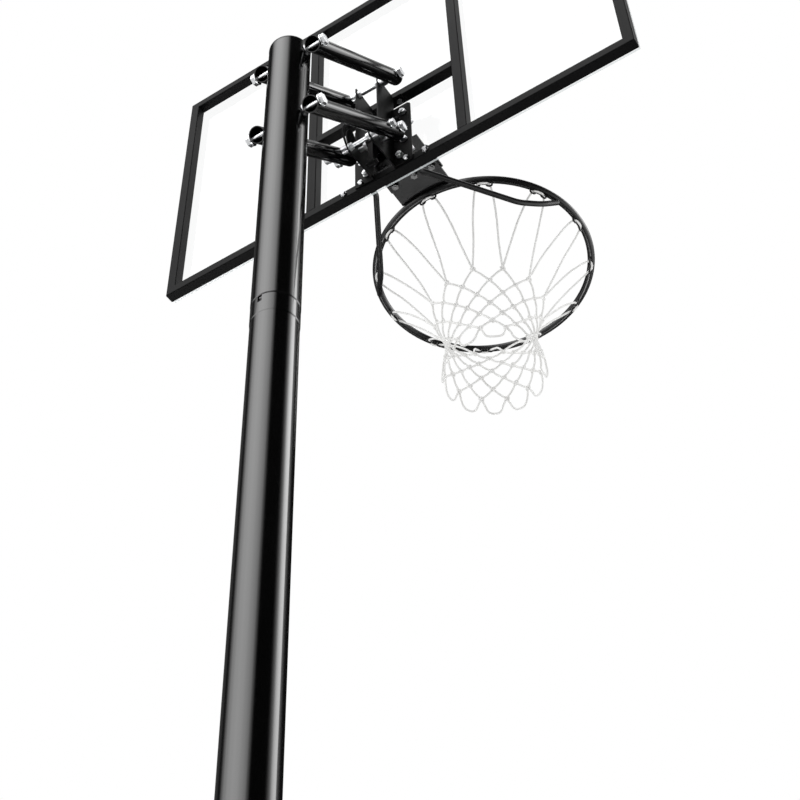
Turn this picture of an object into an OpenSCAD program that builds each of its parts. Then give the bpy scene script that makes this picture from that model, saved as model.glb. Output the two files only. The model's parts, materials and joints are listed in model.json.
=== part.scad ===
// Portable basketball hoop: ballast tank on two wheels, three-piece round pole,
// four parallel arms, framed clear board, braced ring and knotted net.
// Origin: on the ground under the pole's axis. +Z up, +Y towards the court,
// +X to the right seen from behind.

/* [Height and reach] */
// Height of the ring bar's centre above the ground at the highest setting
rim_h = 3040; // [2990:5:3060]
// Distance between the two pivots of one arm
arm_pitch = 376; // [366:1:386]
// Angle of the arms above level at the highest setting
arm_angle = 44; // [42:1:46]
// Height between the upper and the lower arm pivots
pivot_gap = 202; // [198:1:208]

/* [Pole] */
// Outer diameter of the middle and bottom sections
pole_od = 75; // [74:0.2:76]
// Outer diameter of the top section
pole_top_od = 77; // [76.4:0.2:77.4]
// Wall of the pole sections
pole_wall = 2; // [1.6:0.1:2.4]
// Height of the seam between bottom and middle sections
seam_low = 1110; // [1000:10:1200]
// Distance from the ring down to the seam between middle and top sections
seam_drop = 860; // [800:10:900]

/* [Arms] */
// Outer diameter of the arm tubes
arm_od = 31.8; // [30:0.2:32]
// Distance of each arm's axis from the middle plane
arm_x = 57; // [56.8:0.1:58]
// How far a tube runs past its front pivot
arm_nose = 19; // [17:1:22]

/* [Board] */
// Overall width of the board
board_w = 1104.4; // [1060:0.4:1180]
// Overall height of the board
board_h = 735.5; // [700:0.5:780]
// Side of the square frame tube
frame_t = 22.4; // [21:0.2:23]
// Thickness of the clear panel
panel_t = 4; // [3:0.5:4.5]

/* [Ring and net] */
// Inner diameter of the ring
ring_in = 457.2; // [450:0.2:460]
// Diameter of the ring's bar
bar_d = 16; // [15:0.2:17]
// Drop from the ring to the tips of the net's loops
net_drop = 354; // [330:1:380]

/* [Base] */
// Overall width of the tank
base_w = 800; // [760:10:860]
// How far the tank reaches behind the pole
base_back = 800; // [760:10:860]
// Height of the tank's deck
base_h = 150; // [140:1:160]
// Radius of the wheels
wheel_r = 65; // [58:1:66]

/* [Hidden] */
$fn = 64;

// Bolt radii, hexagon widths across flats, and what a hole adds to a bolt's radius
big_r = 5;
mid_r = 4;
small_r = 3;
big_hex = 16;
mid_hex = 13;
small_hex = 10;
snug = 0.05;
loose = 0.1;

// Pole
pole_r = pole_od / 2;
top_r = pole_top_od / 2;
seam_high = rim_h - seam_drop;
pole_top_z = rim_h - 121.5;

// Arm pivots, as [y, z]
reach = arm_pitch * [cos(arm_angle), sin(arm_angle)];
pole_up = [0, rim_h - 140];
pole_low = pole_up - [0, pivot_gap];
front_up = pole_up + reach;
front_low = front_up - [0, pivot_gap];
// The height bolt's distance from the lower front pivot, and the angle its slot spans
lock_r = 50;
fold_angle = 88;
height_at = front_low - polar(lock_r, arm_angle);

// Board: back of the frame, back of the panel, front of the panel
frame_y = front_up[0] + 51;
panel_y = frame_y + frame_t;
face_y = panel_y + panel_t;
board_z0 = rim_h - 127.3;
board_z1 = board_z0 + board_h;
board_x = board_w / 2;
ring_y = frame_y + 403.5;
ring_r = ring_in / 2 + bar_d / 2;

// Colours used by more than one node
tyre_black = [0.05, 0.05, 0.05];
pole_black = [0.03, 0.03, 0.032];
strut_black = [0.04, 0.04, 0.042];
arm_black = [0.035, 0.035, 0.037];
bracket_black = [0.06, 0.06, 0.062];
frame_black = [0.08, 0.08, 0.085];
ring_black = [0.05, 0.05, 0.052];
dark_grey = [0.3, 0.3, 0.31];
spacer_grey = [0.6, 0.6, 0.62];
base_zinc = [0.72, 0.72, 0.74];
board_zinc = [0.75, 0.75, 0.77];
arm_zinc = [0.78, 0.78, 0.80];

// ---------- helpers ----------
function polar(r, a) = r * [cos(a), sin(a)];
// Point whose first coordinate is X, taken to one side (-1 or 1)
function flip(side, at) = [side * at[0], at[1]];
module both_sides() for (i = [0, 1]) mirror([i, 0, 0]) children();

// Round and hexagonal bars along an axis; "at" holds the other two coordinates in order
module xcyl(x0, x1, at, r, facets = 48)
    translate([x0, at[0], at[1]]) rotate([0, 90, 0]) cylinder(h = x1 - x0, r = r, $fn = facets);
module ycyl(y0, y1, at, r)
    translate([at[0], y1, at[1]]) rotate([90, 0, 0]) cylinder(h = y1 - y0, r = r, $fn = 48);
module zcyl(z0, z1, at, r, facets = 48)
    translate([at[0], at[1], z0]) cylinder(h = z1 - z0, r = r, $fn = facets);
module xhex(x0, x1, at, flats) xcyl(x0, x1, at, flats / sqrt(3), 6);
module yhex(y0, y1, at, flats)
    translate([at[0], y1, at[1]]) rotate([90, 0, 0])
        cylinder(h = y1 - y0, r = flats / sqrt(3), $fn = 6);
module zhex(z0, z1, at, flats) zcyl(z0, z1, at, flats / sqrt(3), 6);

// Spacer rings and a plain nut
module xring(x0, x1, at, outer, inner) difference() {
    xcyl(x0, x1, at, outer);
    xcyl(x0 - 1, x1 + 1, at, inner);
}
module yring(y0, y1, at, outer, inner) difference() {
    ycyl(y0, y1, at, outer);
    ycyl(y0 - 1, y1 + 1, at, inner);
}
module xnut(x0, x1, at, flats, bore) difference() {
    xhex(x0, x1, at, flats);
    xcyl(x0 - 1, x1 + 1, at, bore);
}
// Cone along Y, from radius r1 at y to r2 behind it
module cone(y, at, h, r1, r2)
    translate([at[0], y, at[1]]) rotate([90, 0, 0]) cylinder(h = h, r1 = r1, r2 = r2, $fn = 48);

// Round rod between two points
module rod(a, b, r, facets = 32) {
    v = b - a;
    length = norm(v);
    translate(a) rotate([0, acos(v[2] / length), atan2(v[1], v[0])])
        cylinder(h = length, r = r, $fn = facets);
}
// Rod bent through a list of points
module bent(path, r) {
    for (i = [0:len(path) - 2]) rod(path[i], path[i + 1], r);
    for (i = [1:len(path) - 2]) translate(path[i]) sphere(r = r, $fn = 32);
}
// Outline drawn in Y and Z, thickness along X
module yz_plate(x0, x1, outline)
    translate([x0, 0, 0]) rotate([90, 0, 90]) linear_extrude(x1 - x0) polygon(outline);
// Outline drawn in X and Z, thickness along Y
module xz_plate(y0, y1, outline)
    translate([0, y1, 0]) rotate([90, 0, 0]) linear_extrude(y1 - y0) polygon(outline);

// ---------- base ----------
nose_x = 285;                 // half width of the tank's front block
axle_at = [200, wheel_r + 3]; // [y, z]
axle_r = 6;
wheel_x = nose_x + 29;
corner_r = 60;
edge_r = 14;                  // rounding of the top edge
slice = 0.5;                  // height of the thin discs that shape it
tank_wall = 5;
tank_roof = 8;
boss_z = base_h + 6;          // top of the filler neck and of the strut pads
cap_at = [0, -470];           // [x, y]
stem_r = 25;
cap_z = base_h + 9;           // underside of the filler cap
socket_bolt = [0, base_h + 42];
socket_floor = 14;
// Right strut: lower end of its axis, and the bolt through its foot plate
foot = [318, -588, base_h + 15];
foot_bolt = [foot[0], foot[1] - 36];
// Hand hold: width, depth and height of the recess
hold = [140, 24, 45];
groove_r = 10;
groove_depth = 3.5;
groove_y = -base_back + 190;

// Tapered block with round corners and a rounded top edge, inset all round
module tapered_block(half_x, y0, y1, z0, z1, inset, draft) hull() {
    r = corner_r - inset;
    for (side = [-1, 1], y = [y0 + corner_r, y1 - corner_r])
        translate([side * (half_x - corner_r), y, 0]) {
            translate([0, 0, z0]) cylinder(h = slice, r = r - 3, $fn = 64);
            translate([0, 0, z0 + 3]) cylinder(h = 30, r = r, $fn = 64);
            for (t = [0:15:90])
                translate([0, 0, z1 - edge_r + (edge_r - slice) * sin(t)])
                    cylinder(h = slice, r = r - draft - edge_r * (1 - cos(t)), $fn = 64);
        }
}
// Main block and the narrower one in front of it
module tank_blocks(z0, z1, inset, draft) {
    tapered_block(base_w / 2, -base_back, 30, z0, z1, inset, draft);
    tapered_block(nose_x, -160, 258, z0, z1, inset, draft - 2);
}
// Pole socket with a flared foot, as [radius, z]
module socket() rotate_extrude() polygon([
    [0, 0], [52, 0], [52, base_h - 7], [104, base_h - 7], [104, base_h - 0.5],
    [88, base_h + 2], [72, base_h + 10], [62, base_h + 26], [58, base_h + 64],
    [56, base_h + 68], [53, base_h + 70], [0, base_h + 70]]);
// Three round-ended grooves on each side of the deck, shorter towards the edges
module deck_grooves() for (side = [-1, 1], k = [0:2]) {
    x = side * (110 + 62 * k);
    length = 440 - 40 * k;
    z0 = base_h - groove_depth;
    translate([x - groove_r, groove_y, z0]) cube([2 * groove_r, length, 12]);
    for (y = [groove_y, groove_y + length]) zcyl(z0, z0 + 12, [x, y], groove_r);
}
module base_tank() color([0.07, 0.07, 0.075]) difference() {
    union() {
        difference() {
            tank_blocks(0, base_h, 0, 14);
            // the hollow that holds water or sand
            tank_blocks(tank_wall, base_h - tank_roof, tank_wall, 13);
        }
        socket();
        // walls round the hand hold
        translate([-hold[0] / 2 - tank_wall, -base_back + 6, 0])
            cube([hold[0] + 2 * tank_wall, hold[1] + tank_wall - 6, hold[2] + tank_wall]);
        // axle tunnel
        xcyl(-nose_x + 4, nose_x - 4, axle_at, 16);
        // filler neck
        zcyl(base_h - 22, boss_z, cap_at, 44);
        // pads for the struts' feet
        for (side = [-1, 1]) {
            translate([side * foot[0] - 32, foot[1] - 72, boss_z - 18]) cube([64, 90, 18]);
            zcyl(base_h - 34, base_h, flip(side, foot_bolt), 16);
        }
    }
    // pole socket bore and its cross hole
    zcyl(socket_floor, base_h + 80, [0, 0], pole_r + 0.2);
    xcyl(-80, 80, socket_bolt, big_r + loose);
    // axle bore
    xcyl(-nose_x - 20, nose_x + 20, axle_at, axle_r + snug);
    // filler bore
    zcyl(base_h - 40, base_h + 10, cap_at, stem_r + 0.08);
    // holes for the strut bolts
    for (side = [-1, 1]) zcyl(base_h - 30, base_h + 20, flip(side, foot_bolt), mid_r + snug);
    // hand hold under the rear edge
    translate([-hold[0] / 2, -base_back - 10, -1]) cube([hold[0], hold[1] + 10, hold[2] + 1]);
    deck_grooves();
}
module fill_cap() color([0.10, 0.10, 0.11]) translate([cap_at[0], cap_at[1], 0]) {
    // stem in the neck
    zcyl(base_h - 16, cap_z, [0, 0], stem_r);
    // disc with finger notches round its edge
    difference() {
        zcyl(cap_z, cap_z + 17, [0, 0], 38);
        for (a = [0:20:340]) rotate([0, 0, a]) zcyl(cap_z - 1, cap_z + 18, [39.5, 0], 3.4, 24);
    }
    // finger bar
    translate([-30, -5, cap_z + 16]) cube([60, 10, 12]);
}
module fill_cap_seal() color([0.02, 0.02, 0.02]) difference() {
    zcyl(boss_z + 0.1, cap_z - 0.1, cap_at, 36);
    zcyl(base_h + 5, base_h + 10, cap_at, stem_r + 0.1);
}
module wheel_axle() color(spacer_grey) xcyl(-nose_x - 66, nose_x + 66, axle_at, axle_r);

// Moulded wheel about Z: hub, web with six windows, and a rounded, grooved tread
hub_r = 17;
rim_in = wheel_r - 15;
wheel_bore = axle_r + 0.06;
module wheel() difference() {
    rotate_extrude() polygon([
        [wheel_bore, -24], [hub_r, -24], [hub_r, -8], [rim_in, -6], [rim_in, -21],
        [wheel_r - 4, -22], [wheel_r, -17], [wheel_r, 17], [wheel_r - 4, 22],
        [rim_in, 21], [rim_in, 6], [hub_r, 8], [hub_r, 24], [wheel_bore, 24]]);
    for (a = [0:60:300]) rotate([0, 0, a]) translate([(wheel_r + 4) / 2, 0, -30])
        cylinder(h = 60, r = (wheel_r - 38) / 2.6, $fn = 32);
    for (z = [-9, 0, 9]) translate([0, 0, z - 1.2]) difference() {
        cylinder(h = 2.4, r = wheel_r + 2);
        translate([0, 0, -1]) cylinder(h = 5, r = wheel_r - 2);
    }
}
module wheel_at(x) translate([x, axle_at[0], axle_at[1]]) rotate([0, 90, 0]) wheel();
module wheel_right() color(tyre_black) wheel_at(wheel_x);
module wheel_left() color(tyre_black) wheel_at(-wheel_x);
module axle_caps() color(board_zinc) both_sides() difference() {
    union() {
        xcyl(nose_x + 53.4, nose_x + 55, axle_at, 14);
        xcyl(nose_x + 55, nose_x + 64, axle_at, 10);
    }
    xcyl(nose_x + 50, nose_x + 70, axle_at, axle_r + snug);
}

// ---------- pole ----------
pole_ri = pole_r - pole_wall;
top_ri = top_r - pole_wall;
collar_r = pole_r + 0.7;
spigot_h = 80;
strut_bolt = [0, 745]; // [y, z]

// Section with a belled collar and a reduced spigot at its top, as [radius, z]
module section(z0, z1, spigot_r) rotate_extrude($fn = 96) polygon([
    [pole_ri, z0], [pole_r - 0.9, z0], [pole_r, z0 + 1.6], [pole_r, z1 - 40],
    [collar_r, z1 - 38], [collar_r, z1 - 1.6], [collar_r - 0.9, z1], [spigot_r, z1],
    [spigot_r, z1 + spigot_h - 2], [spigot_r - 0.8, z1 + spigot_h],
    [spigot_r - pole_wall, z1 + spigot_h], [spigot_r - pole_wall, z1 - 24],
    [pole_ri, z1 - 28]]);
// Three punched notches below a seam: deepest at the seam, running out downwards
module notches(seam_z) for (a = [-92, 28, 148])
    rotate([0, 0, a]) translate([0, 4, seam_z]) rotate([90, 0, 0]) linear_extrude(8) polygon([
        [collar_r + 2, 1], [collar_r - 2.3, 1], [collar_r - 2.3, -5],
        [collar_r + 0.4, -17], [collar_r + 2, -17]]);
module pole_bottom() color(pole_black) difference() {
    section(socket_floor + 0.2, seam_low, pole_ri - 0.05);
    xcyl(-60, 60, socket_bolt, big_r + loose);
    xcyl(-60, 60, strut_bolt, big_r + loose);
    notches(seam_low);
}
module pole_middle() color(pole_black) difference() {
    section(seam_low, seam_high, top_ri - 0.05);
    notches(seam_high);
}
module pole_top() color(pole_black) difference() {
    rotate_extrude($fn = 96) polygon([
        [top_ri, seam_high], [top_r - 0.9, seam_high], [top_r, seam_high + 1.6],
        [top_r, pole_top_z], [top_ri, pole_top_z]]);
    for (at = [pole_up, pole_low]) xcyl(-60, 60, at, big_r + loose);
}
module pole_cap() color(ring_black) translate([0, 0, pole_top_z]) difference() {
    rotate_extrude($fn = 96) polygon([
        [0, -30], [top_ri - 0.08, -30], [top_ri - 0.08, 0], [top_r + 0.3, 0],
        [top_r + 0.3, 2.6], [top_r - 0.4, 3.9], [top_r - 2.4, 4.7], [top_r - 12, 5], [0, 5]]);
    // hollow plug with a cross hole for the upper pivot bolt
    translate([0, 0, -31]) cylinder(h = 32.5, r = top_ri - 3);
    xcyl(-60, 60, pole_up - [0, pole_top_z], big_r + 0.3);
}
module pole_base_bolt() color(base_zinc) {
    xcyl(-72, 68, socket_bolt, big_r);
    xhex(62, 69, socket_bolt, big_hex);
    xnut(-70, -62, socket_bolt, big_hex, big_r - 0.5);
}

// ---------- struts ----------
strut_r = 11;
tab_x = pole_r + 0.2;  // flattened top end, beside the pole
sheet_t = 3;           // thickness of the struts' ends and of the board's brackets
strut_z = strut_bolt[1];
strut_head = [44, -42, strut_z - 17];
module strut() difference() {
    overrun = 0.05 * (foot - strut_head);
    union() {
        difference() {
            rod(strut_head, foot, strut_r, 48);
            rod(strut_head - overrun, foot + overrun, strut_r - 1.4, 48);
        }
        // flattened top end
        translate([tab_x, -50, strut_z - 24]) cube([sheet_t, 50, 40]);
        xcyl(tab_x, tab_x + sheet_t, [0, strut_z - 4], 20);
        // foot plate
        translate([foot[0] - 20, foot[1] - 60, boss_z + 0.1]) cube([40, 68, sheet_t]);
    }
    xcyl(pole_r - 5, pole_r + 20, strut_bolt, big_r + loose);
    zcyl(base_h, base_h + 12, foot_bolt, mid_r + loose);
}
module strut_right() color(strut_black) strut();
module strut_left() color(strut_black) mirror([1, 0, 0]) strut();
module strut_top_bolt() color(base_zinc) {
    xcyl(-52, 52, strut_bolt, big_r);
    xhex(pole_r + 3.3, pole_r + 10, strut_bolt, big_hex);
    xnut(-pole_r - 11, -pole_r - 3.3, strut_bolt, big_hex, big_r - 0.5);
}
module strut_foot_bolts() color(base_zinc) for (side = [-1, 1]) {
    at = flip(side, foot_bolt);
    zcyl(base_h - 26, base_h + 10, at, mid_r);
    zcyl(base_h + 9.2, base_h + 10.8, at, 10);
    zhex(base_h + 10.8, base_h + 16.5, at, mid_hex);
}

// ---------- arms ----------
arm_r = arm_od / 2;
arm_tail = 11.5;             // how far a tube runs behind its rear pivot
arm_out = arm_x + arm_r + 0.2; // just outside the arms
arm_in = arm_x - arm_r - 0.1;  // just inside the arms
washer_t = 1.6;

// One tube with its pivot holes; height_hole is the radius of the height bolt's hole, if any
module arm(side, pivot, front_hole, height_hole = 0) color(arm_black)
    translate([side * arm_x, 0, pivot[1]]) rotate([-(90 - arm_angle), 0, 0]) difference() {
        length = arm_pitch + arm_tail + arm_nose;
        translate([0, 0, -arm_tail]) cylinder(h = length, r = arm_r);
        translate([0, 0, -arm_tail - 1]) cylinder(h = length + 2, r = arm_r - 1.6);
        arm_hole(0, big_r + snug);
        arm_hole(arm_pitch, front_hole);
        if (height_hole > 0) arm_hole(arm_pitch - lock_r, height_hole);
    }
module arm_hole(z, r)
    translate([0, 0, z]) rotate([0, 90, 0]) cylinder(h = 60, r = r, center = true);
module upper_arm_left() arm(-1, pole_up, big_r + snug);
module upper_arm_right() arm(1, pole_up, big_r + snug);
module lower_arm_left() arm(-1, pole_low, big_r + 0.3, mid_r + snug);
module lower_arm_right() arm(1, pole_low, big_r + 0.3, mid_r + snug);

// Bolt across both arms: head and washer on the right, nut and washer on the left
module cross_bolt(at, r) color(arm_zinc) {
    xcyl(-arm_out - 11, arm_out + 5, at, r);
    xcyl(arm_out, arm_out + washer_t, at, r * 2.4);
    xhex(arm_out + washer_t, arm_out + 8, at, r * 3.8);
}
module cross_nut(at, r) difference() {
    union() {
        xcyl(-arm_out - washer_t, -arm_out, at, r * 2.4);
        xhex(-arm_out - 9.6, -arm_out - washer_t, at, r * 3.8);
    }
    xcyl(-arm_out - 12, -arm_out + 2, at, r + snug);
}
// Pair of spacers from x0 out to the arms
module arm_spacers(x0, at, outer, inner) both_sides() xring(x0, arm_in, at, outer, inner);

module pole_pivot_bolt_upper() cross_bolt(pole_up, big_r);
module pole_pivot_bolt_lower() cross_bolt(pole_low, big_r);
module pole_pivot_nuts() color(arm_zinc) for (at = [pole_up, pole_low]) cross_nut(at, big_r);
module pole_pivot_spacers() color(spacer_grey) for (at = [pole_up, pole_low])
    arm_spacers(top_r + 0.1, at, 10.5, big_r + snug);

// ---------- board carrier ----------
bracket_x0 = 24.5;           // inner face of the right side plate
bracket_x1 = bracket_x0 + sheet_t;
nut_x = bracket_x0 - 0.2;    // where the nuts inside the brackets end
bracket_z0 = rim_h - 122;
crossbar_z = rim_h + 130;
tab_z = crossbar_z - 0.2 - sheet_t; // underside of the tab below the crossbar
slot_r = 4.25;               // half width of the slot
plate_r = 59;                // round edge of the side plate, about the lower front pivot
plate_a = 234;               // where that edge starts

// The height bolt crosses both lower arms and both slotted brackets
module height_bolt() cross_bolt(height_at, mid_r);
module height_bolt_nuts() color(arm_zinc) {
    cross_nut(height_at, mid_r);
    both_sides() difference() {
        union() {
            xcyl(nut_x - washer_t, nut_x, height_at, 8.6);
            xhex(16.5, nut_x - washer_t, height_at, mid_hex);
        }
        xcyl(10, 30, height_at, mid_r + snug);
    }
}
module height_bolt_spacers() color(spacer_grey)
    arm_spacers(bracket_x1 + 0.3, height_at, 8.4, mid_r + snug);

module front_pivot_bolt_upper() cross_bolt(front_up, big_r);
module front_pivot_bolt_lower() cross_bolt(front_low, big_r);
module front_pivot_nuts() color(arm_zinc) {
    for (at = [front_up, front_low]) cross_nut(at, big_r);
    // nuts inside the brackets, and the pair that holds the lever
    both_sides() xnut(17.5, nut_x, front_up, big_hex, big_r + snug);
    xnut(17.3, nut_x, front_low, big_hex, big_r + snug);
    xnut(-11.5, -4.5, front_low, big_hex, big_r + snug);
}
module front_pivot_spacers() color([0.7, 0.7, 0.72]) for (at = [front_up, front_low])
    arm_spacers(bracket_x1 + 0.1, at, 9.5, big_r + snug);

// Slot the height bolt follows as the arms fold
module arc_slot() {
    a0 = 180 + arm_angle + 1;
    a1 = 180 + arm_angle - fold_angle - 1;
    intersection() {
        difference() {
            xcyl(10, 40, front_low, lock_r + slot_r, 96);
            xcyl(9, 41, front_low, lock_r - slot_r, 96);
        }
        yz_plate(10, 40, concat([front_low], [for (a = [a0, 180, a1]) front_low + polar(90, a)]));
    }
    for (a = [a0, a1]) xcyl(10, 40, front_low + polar(lock_r, a), slot_r);
}
// Holes on the right, as [x, z]
panel_holes = [[50.8, rim_h + 52], [50.8, rim_h - 46]];
brace_hole = [40, rim_h - 94];
rim_holes = [[36, rim_h + 34], [36, rim_h - 30]];
corner_hole = [54, rim_h - 113];
rail_hole = [97, rim_h - 116];
clamp_holes = concat(panel_holes, [brace_hole]);
flange_holes = concat(clamp_holes, rim_holes);
tab_hole = [37, frame_y + 9]; // [x, y]

// Folded bracket: side plate that carries the pivots, flange on the back of the frame,
// tab under the crossbar
module side_bracket() color(bracket_black) difference() {
    front_y = front_low[0];
    union() {
        yz_plate(bracket_x0, bracket_x1, [
            [frame_y, rim_h + 129.8], [front_y + 47.5, rim_h + 133],
            [front_y - 10.5, rim_h + 133], [front_y - 10.5, rim_h - 40], front_low,
            front_low + polar(plate_r, plate_a), [front_y + 16, bracket_z0],
            [frame_y, bracket_z0]]);
        intersection() {
            xcyl(bracket_x0, bracket_x1, front_low, plate_r, 96);
            yz_plate(20, 30, concat([front_low],
                [for (a = [plate_a, 180, 126]) front_low + polar(90, a)]));
        }
        xz_plate(frame_y - sheet_t, frame_y, [
            [bracket_x0, bracket_z0], [68, bracket_z0], [68, rim_h + 76],
            [62, rim_h + 82], [bracket_x0, rim_h + 82]]);
        translate([bracket_x0, frame_y - 4, tab_z]) cube([23, 22, sheet_t]);
    }
    for (at = [front_up, front_low]) xcyl(10, 40, at, big_r + snug);
    arc_slot();
    for (at = flange_holes) ycyl(frame_y - 10, frame_y + 10, at, mid_r + loose);
    ycyl(frame_y - 10, frame_y + 10, corner_hole, small_r + snug);
    zcyl(rim_h + 120, rim_h + 135, tab_hole, small_r + snug);
}
module side_bracket_right() side_bracket();
module side_bracket_left() mirror([1, 0, 0]) side_bracket();
module bracket_bolts() color(board_zinc) for (side = [-1, 1]) {
    ycyl(frame_y - 6, frame_y + 5, flip(side, corner_hole), small_r);
    yhex(frame_y - 7.5, frame_y - sheet_t, flip(side, corner_hole), small_hex);
    zcyl(rim_h + 124, rim_h + 136, flip(side, tab_hole), small_r);
    zhex(rim_h + 120.4, tab_z, flip(side, tab_hole), 11);
}
// Lever between the brackets: swings on the lower front pivot bolt
module lock_lever() color(tyre_black) difference() {
    union() {
        xcyl(-4.3, 17.1, front_low, 11);
        translate([-1, front_low[0] - 8, front_low[1] - 66]) cube([12, 16, 60]);
        xcyl(-1, 11, front_low - [0, 66], 8);
        xcyl(-7, 17, front_low - [0, 68], 4.5);
    }
    xcyl(-10, 30, front_low, big_r + 0.06);
}

// ---------- board ----------
mitre = frame_t + 1;
upright_x = 169; // inner faces of the uprights, ends of the crossbar

// Square of the given side with round corners
module round_square(s, r) {
    translate([-s / 2 + r, -s / 2]) square([s - 2 * r, s]);
    translate([-s / 2, -s / 2 + r]) square([s, s - 2 * r]);
    for (i = [-1, 1], j = [-1, 1]) translate([i * (s / 2 - r), j * (s / 2 - r)])
        circle(r = r, $fn = 32);
}
// Frame tube with rounded corners, along Z from the origin
module frame_tube(length) linear_extrude(length) difference() {
    round_square(frame_t, 2.2);
    round_square(frame_t - 3, 0.9);
}
module tube_across(half_x, z)
    translate([-half_x, frame_y + frame_t / 2, z + frame_t / 2]) rotate([90, 0, 90])
        frame_tube(2 * half_x);
module tube_up(z0, z1, x)
    translate([x + frame_t / 2, frame_y + frame_t / 2, z0]) frame_tube(z1 - z0);

// Mitred rail across the board: outer edge at z, inner edge above (1) or below (-1) it
module long_rail(z, inward) intersection() {
    tube_across(board_x, min(z, z + inward * frame_t));
    xz_plate(frame_y - 1, panel_y + 1, [
        [-board_x, z], [board_x, z],
        [board_x - mitre, z + inward * mitre], [-board_x + mitre, z + inward * mitre]]);
}
module side_rail() intersection() {
    tube_up(board_z0, board_z1, board_x - frame_t);
    xz_plate(frame_y - 1, panel_y + 1, [
        [board_x, board_z0], [board_x, board_z1],
        [board_x - mitre, board_z1 - mitre], [board_x - mitre, board_z0 + mitre]]);
}
module upright() tube_up(board_z0 + frame_t, board_z1 - frame_t, upright_x);
module frame_bottom_rail() color(frame_black) difference() {
    long_rail(board_z0, 1);
    for (side = [-1, 1], at = [corner_hole, rail_hole])
        ycyl(frame_y - 5, frame_y + 3, flip(side, at), small_r + snug);
}
module frame_top_rail() color(frame_black) long_rail(board_z1, -1);
module frame_right_rail() color(frame_black) side_rail();
module frame_left_rail() color(frame_black) mirror([1, 0, 0]) side_rail();
module upright_right() color(frame_black) upright();
module upright_left() color(frame_black) mirror([1, 0, 0]) upright();
module crossbar() color(frame_black) difference() {
    tube_across(upright_x, crossbar_z);
    for (side = [-1, 1]) zcyl(rim_h + 125, rim_h + 135, flip(side, tab_hole), small_r + snug);
}
module clear_panel() color([0.85, 0.88, 0.9, 0.35]) difference() {
    translate([-board_x, panel_y, board_z0]) cube([board_w, panel_t, board_h]);
    for (side = [-1, 1], at = flange_holes)
        ycyl(panel_y - 2, face_y + 2, flip(side, at), mid_r + loose);
    // countersinks
    for (side = [-1, 1], at = panel_holes) {
        cone(face_y, flip(side, at), 2.6, 7.6, mid_r + loose);
        ycyl(face_y - 0.1, face_y + 1, flip(side, at), 7.6);
    }
}
module frame_bolts() color(dark_grey) for (side = [-1, 1]) {
    at = flip(side, rail_hole);
    ycyl(frame_y - 6, frame_y + 5, at, small_r);
    ycyl(frame_y - washer_t, frame_y, at, 6.4);
    yhex(frame_y - 6.6, frame_y - washer_t, at, small_hex);
}

// Bolt with its head in front of the board, its nut behind the flange, and a spacer in between
module through_bolt(at, tail, flats) {
    ycyl(frame_y - tail, face_y + 5, at, mid_r);
    yhex(face_y + 4.1, face_y + 9.6, at, flats);
}
module flange_nut(at, washer_r, washer_t, nut_end, flats) difference() {
    seat = frame_y - sheet_t;
    union() {
        ycyl(seat - washer_t, seat, at, washer_r);
        yhex(frame_y - nut_end, seat - washer_t, at, flats);
    }
    ycyl(frame_y - 20, frame_y, at, mid_r + snug);
}
module bolt_spacer(at) yring(frame_y, panel_y, at, 7.2, mid_r + loose);

// Flush bolts that hold the panel to the flanges, and the braces' bolts
module panel_bolts() color(board_zinc) for (side = [-1, 1]) {
    for (at = panel_holes) {
        ycyl(frame_y - 13, face_y - 2.2, flip(side, at), mid_r);
        cone(face_y - 0.2, flip(side, at), 2.45, 7.26, mid_r);
    }
    through_bolt(flip(side, brace_hole), 13, mid_hex);
}
module panel_bolt_nuts() color(arm_zinc) for (side = [-1, 1], at = clamp_holes)
    flange_nut(flip(side, at), 8, 1.6, 11, mid_hex);
module panel_bolt_spacers() color(dark_grey) for (side = [-1, 1], at = clamp_holes)
    bolt_spacer(flip(side, at));

// ---------- ring ----------
bar_top = rim_h + bar_d / 2;
tongue_holes = [[-45, face_y + 88], [45, face_y + 88], [3, face_y + 86]]; // [x, y]
module tongue_bores() for (at = tongue_holes) zcyl(rim_h, rim_h + 30, at, mid_r + loose);

// Plate on the board, shelf over the tongue and two gussets
module rim_bracket() color(ring_black) difference() {
    union() {
        translate([-47.5, face_y, rim_h - 58]) cube([95, 4, 131]);
        translate([0, 0, bar_top + 3.6]) linear_extrude(4) polygon([
            [-47.5, face_y + 2], [47.5, face_y + 2], [47.5, face_y + 28],
            [63.5, face_y + 44], [63.5, face_y + 104], [-63.5, face_y + 104],
            [-63.5, face_y + 44], [-47.5, face_y + 28]]);
        for (x = [-24, 20]) yz_plate(x, x + 4, [
            [face_y + 2, rim_h + 12], [face_y + 2, rim_h + 66], [face_y + 10, rim_h + 66],
            [face_y + 74, rim_h + 15.5], [face_y + 74, rim_h + 12]]);
    }
    for (side = [-1, 1], at = rim_holes)
        ycyl(face_y - 2, face_y + 8, flip(side, at), mid_r + loose);
    tongue_bores();
}
module ring_tongue() color(ring_black) difference() {
    translate([-60, face_y + 6, bar_top - 0.5]) cube([120, 136, 4]);
    tongue_bores();
}
module tongue_bolts() color(board_zinc) for (at = tongue_holes) {
    zcyl(bar_top - 8.5, bar_top + 8, at, mid_r);
    zhex(bar_top - 6.6, bar_top - 0.6, at, mid_hex);
    zcyl(bar_top + 7.7, bar_top + 10.5, at, 8);
}
module rim_ring() color(ring_black) translate([0, ring_y, rim_h])
    rotate_extrude($fn = 96) translate([ring_r, 0]) circle(r = bar_d / 2, $fn = 48);
module rim_bolts() color(ring_black) for (side = [-1, 1], at = rim_holes)
    through_bolt(flip(side, at), 12, 12);
module rim_bolt_nuts() color(ring_black) for (side = [-1, 1], at = rim_holes)
    flange_nut(flip(side, at), 7.6, 1.2, 10, 12);
module rim_bolt_spacers() color(dark_grey) for (side = [-1, 1], at = rim_holes)
    bolt_spacer(flip(side, at));

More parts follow.
